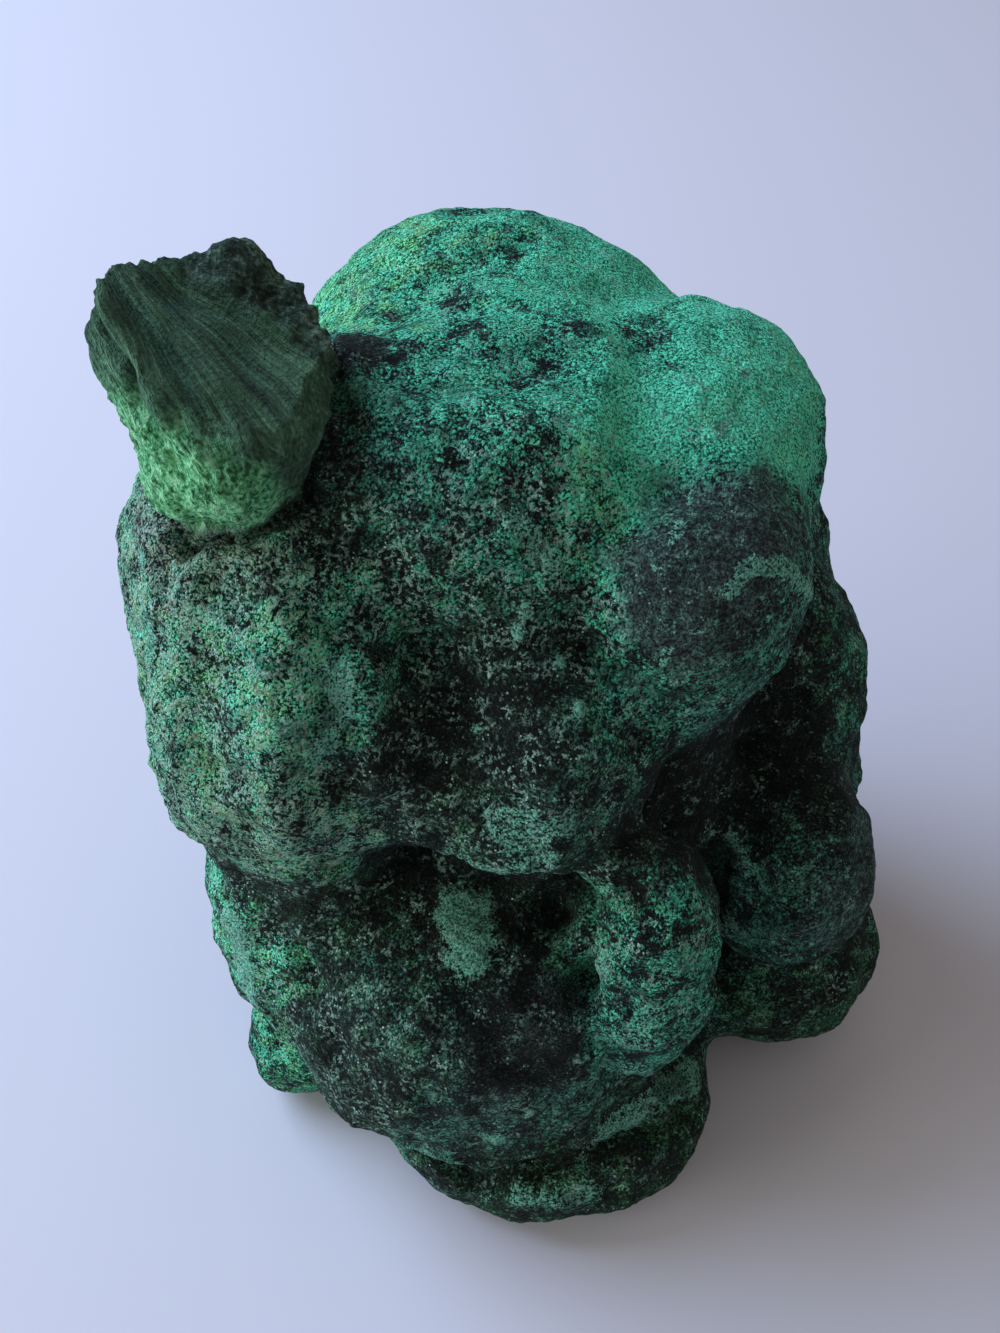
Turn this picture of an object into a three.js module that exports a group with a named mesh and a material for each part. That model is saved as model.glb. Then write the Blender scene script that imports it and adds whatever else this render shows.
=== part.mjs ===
// Malachite specimen: one botryoidal stone, an overhanging cap of grown-together lobes on a narrower waist and
// foot, with a stub of split fibrous malachite grown on to its left shoulder. Its underside is broken flat, and it
// stands on that. Millimetres, +Z up, the front towards -Y, and the origin in the middle of the foot's plane.
//
// The stone is a smooth union, as it grew: each lobe is an ellipsoid, and where two meet, a blend width says how
// soft the crease between them is. Its skin, with the foot broken flat, is meshed on an even grid.
import * as THREE from "three";
import { ImprovedNoise } from "three/addons/math/ImprovedNoise.js";

// Driving dimensions
const CELL = 2.4; // grid step, and about the length of a mesh edge
const FOOT = 0; // height at which the stone is broken flat
const FOOT_RIM = FOOT + CELL / 4; // below this, the skin belongs to the foot
const LUMP_SPACING = 8; // from one low lump of the skin to the next
const LUMP_HEIGHT = 1.1; // how far the lumps stand out or sink in
const STUB_CREASE = 1.5; // blend width where the stub meets the shoulder
const STUB_EDGE = 1.2; // rounding of the stub's split edges
const RELAXATIONS = 2; // smoothing passes over the meshed skin

// Lengths are along X (to the right), Y (to the back) and Z (up from the foot). Turns are in degrees.
const at = (x, y, z) => new THREE.Vector3(x, y, z);
const half = (x, y, z) => new THREE.Vector3(x, y, z);
const turned = (...degrees) => new THREE.Euler(...degrees.map(THREE.MathUtils.degToRad));

// The lobes, each with its name, centre, half sizes, blend width, and a turn where its axes aren't upright.
const LOBES = [
  ["heart", at(-1, 7, 55), half(24, 19.5, 22), 5],
  ["waist", at(3, 4, 30), half(22, 20, 30), 5],
  ["sole", at(3, 0, 8), half(24, 22, 12), 4],
  // cap
  ["back crown", at(-1, 23, 62.5), half(17.5, 13, 14), 3],
  ["crown", at(-3.5, 5, 65), half(15.5, 14, 11.5), 3],
  ["right brow", at(17.4, 12.4, 63), half(10.4, 12, 11), 4],
  ["right temple", at(15.5, 5, 60), half(9, 9, 12), 5],
  ["right cheek", at(13.8, -1.5, 57.5), half(10.5, 12, 15), 3, turned(0, 20, 0)],
  ["left cheek", at(-17, -7.5, 49), half(12.4, 12.7, 16.5), 2],
  ["chin", at(1, -11.8, 50), half(11.5, 9.4, 10), 4.5],
  ["left shoulder", at(-19, 1, 61), half(12, 14, 12), 4],
  ["stub root", at(-19, 0.5, 69), half(6.5, 5.5, 8), 4],
  ["stub nub", at(-18.6, 5.6, 84.2), half(2.4, 2.4, 2.4), 1],
  ["left nape", at(-17, 16, 54), half(10.5, 11, 12), 2.5],
  ["right nape", at(20.5, 18, 47), half(11, 11, 11), 2.5],
  // waist and skirt, front
  ["left hip", at(-15.5, -8.7, 29), half(12.2, 12, 10), 2],
  ["left thigh", at(-18.5, -10, 20), half(9, 9, 9), 3],
  ["left foot", at(-20, -14, 6.5), half(6, 6, 8), 2.5],
  ["belly", at(-3.2, -18, 20.3), half(17.3, 13, 15.4), 2],
  ["front foot", at(4.5, -20.2, 6.3), half(17, 12.8, 8.3), 1.5],
  ["thumb", at(13, -19.4, 30), half(6.5, 8, 16), 1.5],
  ["right hip", at(27, -7.2, 27), half(8.4, 9.2, 11.8), 1.5],
  ["right foot", at(27.8, -5, 9.3), half(11.6, 11, 9), 1.5],
  ["right flank", at(26.2, 8, 37), half(9.5, 11, 11), 2.5],
  ["flank bud", at(32.3, 5, 25), half(4.5, 6, 6), 2],
  ["right side foot", at(26.5, 4, 15), half(8, 8, 12), 3],
  // waist and skirt, back
  ["left flank", at(-19, 5, 37), half(9.5, 12, 14), 3],
  ["left side", at(-18.5, 0.5, 21), half(7.5, 7.5, 9.5), 3],
  ["middle back", at(1, 23, 43), half(10, 8.5, 11), 2.5],
  ["right of the back", at(10.5, 20, 48.5), half(7, 7, 9), 3],
  ["left of the back", at(-6, 20, 27), half(7, 7, 8), 3],
  ["left back hip", at(-14, 14, 32), half(10.5, 12, 13), 3],
  ["left back foot", at(-16, 11, 12), half(10.5, 11, 14), 3],
  ["right back hip", at(18, 18, 27), half(12, 11, 13), 3],
  ["right back foot", at(20, 12, 10), half(11, 11, 11), 3],
  ["back foot", at(1, 21, 13), half(13, 10.5, 14), 3],
];

// The stub is an ellipsoid split along planes. Its own axes: x to the right, y in towards the shoulder, and z along
// its face, up and back. Each split has a direction and its distance from the stub's middle.
const STUB = {
  centre: at(-20.8, -2.1, 78.8),
  size: half(11, 9, 12.5),
  turn: turned(-48, 0, 0),
  splits: [
    [at(-0.05, 0.1, 1), 9.6], // broken top
    [at(0.69, 0, 0.72), 10.4], // top right corner
    [at(0.97, 0.1, -0.24), 7.9], // inner side
    [at(0.6, 0, -0.8), 9.4], // growth rim, right
    [at(0.1, -0.1, -1), 9.9], // growth rim, lowest
    [at(-0.9, 0.05, -0.43), 6.6], // growth rim, outer
    [at(-1, 0.1, 0), 8.3], // outer side
    [at(0.2, -0.97, 0.12), 4.6], // main face, along the fibres
    [at(-0.62, -0.72, -0.3), 6.2], // outer face
    [at(0.3, -0.75, 0.6), 6.6], // rough face towards the top
  ],
};

// Signed distance, near enough, from a point to an ellipsoid.
const local = new THREE.Vector3();
function toEllipsoid(point, { centre, size, inverse }) {
  local.copy(point).sub(centre).applyMatrix4(inverse).divide(size);
  const near = local.length();
  const slope = local.divide(size).length();
  return slope > 0 ? (near * (near - 1)) / slope : -Math.min(size.x, size.y, size.z);
}

// Smooth union: the lower of two distances, rounded off where they differ by less than the width.
function blendLow(a, b, width) {
  const overlap = Math.max(width - Math.abs(a - b), 0) / width;
  return Math.min(a, b) - (overlap * overlap * width) / 4;
}

// Smooth intersection, in the same way.
const blendHigh = (a, b, width) => -blendLow(-a, -b, width);

const inverseOf = (turn) => new THREE.Matrix4().makeRotationFromEuler(turn).invert();
const lobes = LOBES.map(([, centre, size, blend, turn = turned(0, 0, 0)]) =>
  ({ centre, size, blend, inverse: inverseOf(turn) }));
const stub = {
  centre: STUB.centre,
  size: STUB.size,
  inverse: inverseOf(STUB.turn),
  splits: STUB.splits.map(([direction, distance]) => new THREE.Plane(direction.normalize(), -distance)),
};

const noise = new ImprovedNoise();
function lumps({ x, y, z }) {
  return LUMP_HEIGHT * noise.noise(x / LUMP_SPACING, y / LUMP_SPACING, z / LUMP_SPACING);
}

function toStub(point) {
  let distance = toEllipsoid(point, stub);
  local.copy(point).sub(stub.centre).applyMatrix4(stub.inverse);
  for (const plane of stub.splits) distance = blendHigh(distance, plane.distanceToPoint(local), STUB_EDGE);
  return distance;
}

// Signed distance to the whole stone: under zero inside it.
function toStone(point) {
  let distance = toEllipsoid(point, lobes[0]);
  for (const lobe of lobes.slice(1)) distance = blendLow(distance, toEllipsoid(point, lobe), lobe.blend);
  distance = blendLow(distance + lumps(point), toStub(point), STUB_CREASE);
  return Math.max(distance, FOOT - point.z);
}

// Surface nets: one vertex in each grid cell that the surface passes through, at the mean of the places where it
// crosses the cell's edges, and one quad round each grid edge that it crosses.
const AXES = [[1, 0, 0], [0, 1, 0], [0, 0, 1]];
const CORNERS = [0, 1, 2, 3, 4, 5, 6, 7].map((bits) => [bits & 1, (bits >> 1) & 1, bits >> 2]);
const CELL_EDGES = CORNERS.flatMap((corner) =>
  AXES.filter((_, axis) => corner[axis] === 0).map((step) => [corner, step]));
const QUAD = [[0, 0], [1, 0], [1, 1], [0, 1]];

// Whether some of a cell's eight corners, given by number, hang together along its edges.
function joined(corners) {
  const reached = new Set(corners.slice(0, 1));
  for (const corner of reached)
    for (const bit of [1, 2, 4])
      if (corners.includes(corner ^ bit)) reached.add(corner ^ bit);
  return reached.size === corners.length;
}

function surfaceNet(distance, low, high, cell) {
  const counts = high.clone().sub(low).divideScalar(cell).ceil().addScalar(1).toArray();
  const index = (i, j, k) => i + counts[0] * (j + counts[1] * k);
  const place = (i, j, k) => new THREE.Vector3(i, j, k).multiplyScalar(cell).add(low);
  const eachNode = (first, visit) => {
    for (let k = first; k < counts[2] - 1; k++)
      for (let j = first; j < counts[1] - 1; j++)
        for (let i = first; i < counts[0] - 1; i++) visit(i, j, k);
  };

  const values = new Float64Array(counts[0] * counts[1] * counts[2]).fill(Infinity);
  eachNode(1, (i, j, k) => {
    values[index(i, j, k)] = distance(place(i, j, k));
  });

  // Two folds of the surface in one cell would share a vertex, so such a cell, deep in a crease, is filled in.
  let filling = true;
  while (filling) {
    filling = false;
    eachNode(0, (i, j, k) => {
      const nodes = CORNERS.map(([a, b, c]) => index(i + a, j + b, k + c));
      const inside = [...nodes.keys()].filter((corner) => values[nodes[corner]] < 0);
      const outside = [...nodes.keys()].filter((corner) => !inside.includes(corner));
      if (joined(inside) && joined(outside)) return;
      for (const corner of outside) values[nodes[corner]] = -cell / 2;
      filling = true;
    });
  }

  const vertexOf = new Map();
  const positions = [];
  eachNode(0, (i, j, k) => {
    const mean = new THREE.Vector3();
    let crossings = 0;
    for (const [[a, b, c], [u, v, w]] of CELL_EDGES) {
      const from = values[index(i + a, j + b, k + c)];
      const to = values[index(i + a + u, j + b + v, k + c + w)];
      if (from < 0 === to < 0) continue;
      const share = from / (from - to);
      mean.add(place(i + a + u * share, j + b + v * share, k + c + w * share));
      crossings++;
    }
    if (crossings === 0) return;
    vertexOf.set(index(i, j, k), positions.length / 3);
    positions.push(...mean.divideScalar(crossings).toArray());
  });

  const triangles = [];
  eachNode(1, (i, j, k) => {
    AXES.forEach(([u, v, w], axis) => {
      const within = values[index(i, j, k)] < 0;
      if (within === values[index(i + u, j + v, k + w)] < 0) return;
      const [p, q] = [AXES[(axis + 1) % 3], AXES[(axis + 2) % 3]];
      const [a, b, c, d] = QUAD.map(([s, t]) =>
        vertexOf.get(index(i - s * p[0] - t * q[0], j - s * p[1] - t * q[1], k - s * p[2] - t * q[2])));
      triangles.push(...(within ? [a, b, c, a, c, d] : [a, c, b, a, d, c]));
    });
  });
  return { positions, triangles };
}

// Moves every vertex that isn't on the foot halfway to the mean of its neighbours, which smooths the creases.
function relax(positions, triangles) {
  const place = (n) => new THREE.Vector3().fromArray(positions, 3 * n);
  const sums = new Map();
  for (let n = 0; n < triangles.length; n++) {
    const neighbour = triangles[n % 3 === 2 ? n - 2 : n + 1];
    const { sum, count } = sums.get(triangles[n]) ?? { sum: new THREE.Vector3(), count: 0 };
    sums.set(triangles[n], { sum: sum.add(place(neighbour)), count: count + 1 });
  }
  return positions.map((value, n) => {
    const vertex = Math.floor(n / 3);
    if (positions[3 * vertex + 2] < FOOT_RIM) return value;
    const { sum, count } = sums.get(vertex);
    return (value + sum.getComponent(n % 3) / count) / 2;
  });
}

// The grid reaches past every lobe, and its levels lie half a cell above and below the foot.
const grid = new THREE.Box3();
for (const { centre, size } of [...lobes, stub]) {
  const reach = 2 * Math.max(...size.toArray());
  grid.union(new THREE.Box3().setFromCenterAndSize(centre, new THREE.Vector3(reach, reach, reach)));
}
grid.expandByScalar(2 * CELL);
grid.min.z = FOOT - 1.5 * CELL;

const { positions: net, triangles } = surfaceNet(toStone, grid.min, grid.max, CELL);
let positions = net;
for (let pass = 0; pass < RELAXATIONS; pass++) positions = relax(positions, triangles);
const geometry = new THREE.BufferGeometry();
geometry.setAttribute("position", new THREE.Float32BufferAttribute(positions, 3));
geometry.setIndex(triangles);

// The foot's rim, a little rounded by the grid, is settled on to the plane that it was broken along.
const skin = geometry.getAttribute("position");
for (let n = 0; n < skin.count; n++) if (skin.getZ(n) < FOOT_RIM) skin.setZ(n, FOOT);

geometry.computeVertexNormals();
geometry.computeBoundingBox();
const middle = geometry.boundingBox.getCenter(new THREE.Vector3());

const malachite = new THREE.MeshStandardMaterial({ color: 0x1f5a46, roughness: 0.9, metalness: 0 });
const stone = new THREE.Mesh(geometry, malachite);
stone.name = "malachite_stone";
stone.position.set(-middle.x, -middle.y, -FOOT);

const specimen = new THREE.Group();
specimen.add(stone);

export default specimen;
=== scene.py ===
"""A malachite specimen on a pale sheet: the stone with its velvet skin and split stub, lights and camera.

Everything is in metres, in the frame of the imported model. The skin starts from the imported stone, is
subdivided, and is then moved along its normals by sums of noise: lumps, pits, a velvet of crystal tips,
and fibres on the stub.
"""

import math

import bmesh
import bpy
import numpy as np
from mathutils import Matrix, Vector
from mathutils.bvhtree import BVHTree


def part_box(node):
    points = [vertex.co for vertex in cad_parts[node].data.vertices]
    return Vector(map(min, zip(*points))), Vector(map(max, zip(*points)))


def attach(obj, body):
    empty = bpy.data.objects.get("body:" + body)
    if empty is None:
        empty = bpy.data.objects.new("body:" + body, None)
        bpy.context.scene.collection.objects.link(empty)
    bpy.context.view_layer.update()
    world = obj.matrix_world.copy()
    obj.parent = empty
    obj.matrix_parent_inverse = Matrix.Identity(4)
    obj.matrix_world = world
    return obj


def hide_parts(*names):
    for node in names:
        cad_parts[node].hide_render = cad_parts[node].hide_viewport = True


NODE = "malachite_stone"
MM = 0.001

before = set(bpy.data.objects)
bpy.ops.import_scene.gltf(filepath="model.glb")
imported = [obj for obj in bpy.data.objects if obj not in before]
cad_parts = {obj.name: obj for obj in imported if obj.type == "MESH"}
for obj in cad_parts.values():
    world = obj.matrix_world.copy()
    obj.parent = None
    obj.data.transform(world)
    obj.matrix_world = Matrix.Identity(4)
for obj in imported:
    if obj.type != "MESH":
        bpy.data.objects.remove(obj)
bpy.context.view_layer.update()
LOW, HIGH = (np.array(corner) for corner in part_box(NODE))
SIZE = HIGH - LOW


def place(across, back, up):
    """A point given by its share of the stone's width, depth and height."""
    return LOW + SIZE * np.array([across, back, up])


# ---------------------------------------------------------------- noise
SEED = 11
RNG = np.random.default_rng(SEED)
SHUFFLE = RNG.permutation(256)
GRADIENTS = RNG.normal(size=(256, 3))
GRADIENTS /= np.linalg.norm(GRADIENTS, axis=1, keepdims=True)
OFFSETS = RNG.uniform(0, 1, size=(256, 3))
CORNERS = np.array([[i, j, k] for i in (0, 1) for j in (0, 1) for k in (0, 1)])
AROUND = np.array([[i, j, k] for i in (-1, 0, 1) for j in (-1, 0, 1) for k in (-1, 0, 1)])


def hashed(cells):
    """A fixed number from 0 to 255 for each lattice cell."""
    x, y, z = (cells & 255).T
    return SHUFFLE[(SHUFFLE[(SHUFFLE[x] + y) & 255] + z) & 255]


def noise(points, step):
    """Smooth noise from about -1 to 1, with lumps about a step apart."""
    scaled = points / step
    cells = np.floor(scaled).astype(int)
    within = scaled - cells
    fade = within**3 * (within * (within * 6 - 15) + 10)
    total = np.zeros(len(points))
    for corner in CORNERS:
        weight = np.prod(np.where(corner, fade, 1 - fade), axis=1)
        total += weight * np.sum(GRADIENTS[hashed(cells + corner)] * (within - corner), axis=1)
    return 1.6 * total


def layered(points, step, layers):
    """Noise with finer and fainter layers on top."""
    total = np.zeros(len(points))
    for layer in range(layers):
        total += noise(points + layer * step, step / 2**layer) / 2**layer
    return total


def cells_apart(points, step):
    """Distance to the nearest and the second nearest of seeds scattered a step apart, in steps."""
    scaled = points / step
    cells = np.floor(scaled).astype(int)
    nearest = np.full(len(points), 9.0)
    second = np.full(len(points), 9.0)
    for shift in AROUND:
        seeds = cells + shift + OFFSETS[hashed(cells + shift)]
        apart = np.linalg.norm(scaled - seeds, axis=1)
        second = np.minimum(second, np.maximum(nearest, apart))
        nearest = np.minimum(nearest, apart)
    return nearest, second


def ramp(values, low, high):
    """0 at low, 1 at high, and smooth between them."""
    share = np.clip((values - low) / (high - low), 0, 1)
    return share * share * (3 - 2 * share)


# ---------------------------------------------------------------- the stone's skin
SAME_POINT = 0.01 * MM  # points this close together are one point
MAP_ANGLE = math.radians(66)
MAP_MARGIN = 0.004
SUBDIVISIONS = 3


def base_mesh():
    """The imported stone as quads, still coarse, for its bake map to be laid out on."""
    mesh = bmesh.new()
    mesh.from_mesh(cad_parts[NODE].data)
    bmesh.ops.remove_doubles(mesh, verts=mesh.verts, dist=SAME_POINT)
    bmesh.ops.join_triangles(
        mesh, faces=mesh.faces, angle_face_threshold=math.pi, angle_shape_threshold=math.pi)
    data = bpy.data.meshes.new("stone_base")
    mesh.to_mesh(data)
    mesh.free()
    stone = bpy.data.objects.new("stone_base", data)
    bpy.context.scene.collection.objects.link(stone)
    return stone


def lay_out_map(stone):
    """Gives the stone its one bake map."""
    bpy.context.view_layer.objects.active = stone
    stone.select_set(True)
    while stone.data.uv_layers:
        stone.data.uv_layers.remove(stone.data.uv_layers[0])
    stone.data.uv_layers.new(name="OFBake")
    bpy.ops.object.mode_set(mode="EDIT")
    bpy.ops.mesh.select_all(action="SELECT")
    bpy.ops.uv.smart_project(angle_limit=MAP_ANGLE, island_margin=MAP_MARGIN)
    bpy.ops.object.mode_set(mode="OBJECT")


def refined(stone, levels):
    """A new mesh: the coarse one subdivided."""
    smooth = stone.modifiers.new("smooth", "SUBSURF")
    smooth.levels = levels
    bpy.context.view_layer.update()
    depsgraph = bpy.context.evaluated_depsgraph_get()
    mesh = bpy.data.meshes.new_from_object(stone.evaluated_get(depsgraph))
    bpy.data.objects.remove(stone)
    return mesh


def vectors(items, name):
    """The named vector of every item, one to a row."""
    values = np.empty(len(items) * 3, np.float32)
    items.foreach_get(name, values)
    return values.reshape(-1, 3).astype(float)


PITCH = 0.8 * MM  # the grid's cells
MARGIN = 12  # empty cells on every side of the stone
DOWN = Vector((0, 0, -1))


def stone_grid(mesh):
    """A grid that is 1 inside the stone and 0 outside it."""
    tree = BVHTree.FromPolygons([v.co for v in mesh.vertices], [p.vertices for p in mesh.polygons])
    counts = np.ceil(SIZE / PITCH).astype(int) + 2 * MARGIN
    grid = np.zeros(counts, np.float32)
    low = LOW - MARGIN * PITCH
    top = HIGH[2] + PITCH
    for i in range(counts[0]):
        for j in range(counts[1]):
            start = Vector((low[0] + i * PITCH, low[1] + j * PITCH, top))
            crossings = []
            hit = tree.ray_cast(start, DOWN)[0]
            while hit is not None:
                crossings.append(hit.z)
                hit = tree.ray_cast(hit - Vector((0, 0, SAME_POINT)), DOWN)[0]
            for upper, lower in zip(crossings[::2], crossings[1::2]):
                first = math.ceil((lower - low[2]) / PITCH)
                last = math.floor((upper - low[2]) / PITCH)
                grid[i, j, first:last + 1] = 1
    return grid, low


def blurred(grid, reach):
    """The grid averaged over a cube that reaches that many cells each way, twice."""
    for _ in range(2):
        for axis in range(3):
            total = np.cumsum(np.moveaxis(grid, axis, 0), axis=0)
            width = 2 * reach + 1
            padded = np.concatenate([np.zeros((reach + 1,) + total.shape[1:]), total,
                                     np.repeat(total[-1:], reach, axis=0)])
            grid = np.moveaxis((padded[width:] - padded[:-width]) / width, 0, axis)
    return grid


def sampled(grid, low, points):
    """The grid's value at each point, from the eight cells round it."""
    scaled = (points - low) / PITCH
    cells = np.clip(np.floor(scaled).astype(int), 0, np.array(grid.shape) - 2)
    within = scaled - cells
    total = np.zeros(len(points))
    for corner in CORNERS:
        weight = np.prod(np.where(corner, within, 1 - within), axis=1)
        total += weight * grid[tuple((cells + corner).T)]
    return total


# ---------------------------------------------------------------- how the skin has grown
# By place: its share of the box, its reach in mm, and from 0 to 1 how bright, how green, how filmed over and
# how dusty the skin is there, and how thickly its crystal tips stand.
# The crystal tips set both the skin's relief and how thick its painted glints stand.
GROWTH = {
    # crown and brow
    "crown left": ((0.32, 0.80, 0.87), 8, 0.86, 0.60, 0.0, 0.1, 0.2),
    "crown": ((0.50, 0.72, 0.87), 5, 1.05, 0.15, 0.0, 0.0, 0.1),
    "crown back": ((0.43, 0.88, 0.87), 5, 0.75, 0.10, 0.1, 0.0, 0.1),
    "crown middle": ((0.40, 0.72, 0.87), 6, 0.60, 0.10, 0.1, 0.0, 0.2),
    "crown right": ((0.61, 0.81, 0.83), 7, 1.00, 0.10, 0.0, 0.0, 0.1),
    "brow top": ((0.67, 0.67, 0.85), 5, 0.95, 0.10, 0.1, 0.0, 0.1),
    "notch": ((0.61, 0.64, 0.86), 4, 0.62, 0.00, 0.1, 0.0, 0.1),
    "brow": ((0.73, 0.57, 0.83), 8, 1.20, 0.10, 0.0, 0.0, 0.1),
    "brow edge": ((0.83, 0.60, 0.76), 5, 0.56, 0.10, 0.1, 0.0, 0.1),
    "streak": ((0.57, 0.52, 0.86), 5, 1.10, 0.00, 0.0, 0.0, 0.2),
    "streak foot": ((0.60, 0.45, 0.83), 5, 1.05, 0.00, 0.0, 0.0, 0.3),
    "dark patch": ((0.51, 0.56, 0.88), 4, 0.40, 0.00, 0.3, 0.0, 0.1),
    "plateau": ((0.42, 0.50, 0.88), 6, 0.74, 0.05, 0.1, 0.0, 0.4),
    "blue plateau": ((0.35, 0.48, 0.88), 5, 0.55, 0.00, 0.4, 0.0, 0.2),
    # The next two rows darken the skin beside and behind the stub as its painted shadow.
    "beside the stub": ((0.27, 0.43, 0.83), 5, 0.05, 0.20, 0.1, 0.0, 0.3),
    "behind the stub": ((0.26, 0.56, 0.87), 4, 0.05, 0.10, 0.1, 0.0, 0.3),
    # the cap's front
    "slope": ((0.34, 0.37, 0.79), 6, 0.27, 0.30, 0.1, 0.1, 0.8),
    "middle top": ((0.41, 0.40, 0.84), 6, 0.26, 0.05, 0.2, 0.0, 0.7),
    "middle": ((0.48, 0.37, 0.78), 6, 0.30, 0.15, 0.0, 0.0, 1.0),
    "green": ((0.55, 0.40, 0.81), 5, 0.85, 0.55, 0.0, 0.0, 0.9),
    # The near-black hollow is painted shade over dark skin.
    "hollow": ((0.40, 0.24, 0.66), 8, -0.10, 0.40, 0.0, 0.0, 0.3),
    "above the hollow": ((0.47, 0.31, 0.72), 5, 0.12, 0.50, 0.0, 0.0, 0.8),
    "left of the hollow": ((0.33, 0.32, 0.73), 4, 0.24, 0.30, 0.0, 0.1, 0.9),
    "cheek's left": ((0.56, 0.33, 0.74), 4, 0.52, 0.30, 0.1, 0.0, 0.8),
    "film": ((0.66, 0.38, 0.80), 7, 0.24, 0.00, 1.2, 0.0, 0.0),
    "low film": ((0.62, 0.35, 0.76), 5, 0.28, 0.00, 1.1, 0.0, 0.1),
    "right cheek": ((0.75, 0.34, 0.70), 6, 0.40, 0.10, 0.4, 0.0, 0.2),
    "under cheek": ((0.65, 0.30, 0.67), 6, 0.60, 0.00, 0.6, 0.0, 0.1),
    "right temple": ((0.82, 0.45, 0.72), 6, 0.42, 0.10, 0.5, 0.0, 0.2),
    "chin right": ((0.58, 0.26, 0.64), 5, 0.30, 0.30, 0.1, 0.0, 0.6),
    "chin": ((0.44, 0.19, 0.61), 7, 0.22, 0.40, 0.1, 0.1, 0.7),
    "left cheek top": ((0.14, 0.35, 0.80), 6, 0.36, 0.30, 0.0, 0.8, 0.9),
    "left cheek": ((0.20, 0.29, 0.74), 7, 0.60, 0.45, 0.0, 0.5, 1.0),
    "left cheek right": ((0.29, 0.30, 0.72), 5, 0.60, 0.10, 0.3, 0.3, 0.8),
    "left cheek side": ((0.05, 0.31, 0.66), 8, 0.66, 0.40, 0.0, 0.7, 0.9),
    "left cheek low": ((0.18, 0.21, 0.58), 7, 0.50, 0.35, 0.1, 0.7, 0.8),
    # under the cap: the recess, its back and the skin under the chin and left cheek are darkened as painted
    # shade
    "recess": ((0.67, 0.34, 0.50), 8, 0.00, 0.30, 0.0, 0.0, 0.2),
    "recess back": ((0.80, 0.45, 0.47), 8, 0.00, 0.30, 0.0, 0.0, 0.1),
    "flank": ((0.90, 0.52, 0.47), 6, 0.34, 0.30, 0.2, 0.0, 0.2),
    "under chin": ((0.42, 0.26, 0.43), 7, 0.00, 0.40, 0.0, 0.0, 0.3),
    "under left cheek": ((0.18, 0.26, 0.42), 5, 0.08, 0.50, 0.0, 0.0, 0.5),
    "left hip": ((0.12, 0.23, 0.33), 5, 0.58, 0.45, 0.0, 0.2, 0.8),
    "left thigh": ((0.16, 0.20, 0.27), 5, 0.36, 0.50, 0.0, 0.2, 0.8),
    "left foot": ((0.15, 0.20, 0.10), 6, 0.40, 0.40, 0.1, 0.0, 0.4),
    "belly left": ((0.24, 0.10, 0.30), 7, 0.10, 0.50, 0.0, 0.2, 0.6),
    "belly": ((0.34, 0.14, 0.38), 7, 0.22, 0.45, 0.1, 0.1, 0.5),
    "belly top": ((0.44, 0.20, 0.41), 6, 0.20, 0.40, 0.0, 0.0, 0.4),
    "belly middle": ((0.45, 0.10, 0.37), 5, 0.00, 0.00, 0.4, 0.0, 0.2),
    "belly dark": ((0.46, 0.06, 0.31), 5, 0.02, 0.20, 0.4, 0.0, 0.1),
    "belly low": ((0.45, 0.04, 0.24), 7, 0.30, 0.15, 0.4, 0.0, 0.3),
    "front foot": ((0.50, 0.04, 0.12), 7, 0.14, 0.60, 0.1, 0.0, 0.3),
    "thumb": ((0.61, 0.15, 0.42), 6, 0.48, 0.20, 0.3, 0.0, 0.5),
    "thumb low": ((0.63, 0.09, 0.36), 6, 0.50, 0.00, 0.4, 0.0, 0.2),
    "front foot right": ((0.70, 0.12, 0.12), 6, 0.12, 0.60, 0.0, 0.0, 0.3),
    "right hip": ((0.80, 0.28, 0.38), 6, 0.32, 0.10, 0.4, 0.0, 0.2),
    "hip edge": ((0.88, 0.30, 0.36), 5, 0.30, 0.00, 0.7, 0.0, 0.1),
    "right foot": ((0.88, 0.28, 0.13), 7, 0.16, 0.60, 0.1, 0.0, 0.2),
    # back and sides
    "back crown": ((0.45, 1.00, 0.74), 9, 0.62, 0.20, 0.1, 0.0, 0.2),
    "left nape": ((0.10, 0.80, 0.64), 9, 0.40, 0.30, 0.1, 0.3, 0.5),
    "right nape": ((0.95, 0.80, 0.55), 8, 0.36, 0.10, 0.4, 0.0, 0.2),
    "right side": ((0.95, 0.60, 0.42), 8, 0.22, 0.30, 0.2, 0.0, 0.4),
    "middle back": ((0.52, 0.97, 0.50), 8, 0.24, 0.25, 0.1, 0.1, 0.7),
    "left back": ((0.12, 0.75, 0.36), 9, 0.34, 0.40, 0.0, 0.3, 0.8),
    "left side": ((0.05, 0.45, 0.42), 8, 0.36, 0.30, 0.1, 0.2, 0.6),
    "right back": ((0.88, 0.85, 0.30), 9, 0.32, 0.20, 0.3, 0.0, 0.4),
    "back foot": ((0.50, 0.95, 0.12), 9, 0.20, 0.40, 0.2, 0.0, 0.4),
    "left back foot": ((0.12, 0.70, 0.12), 8, 0.24, 0.50, 0.1, 0.1, 0.3),
    "right back foot": ((0.90, 0.72, 0.10), 8, 0.18, 0.50, 0.2, 0.0, 0.3),
    "underneath": ((0.50, 0.50, 0.00), 20, 0.30, 0.20, 0.2, 0.4, 0.1),
}
PLAIN_SKIN = (0.3, 0.3, 0.2, 0.1, 0.4)  # the same five, far from every place
FAINT = 1e-4  # how much the plain skin counts

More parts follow.
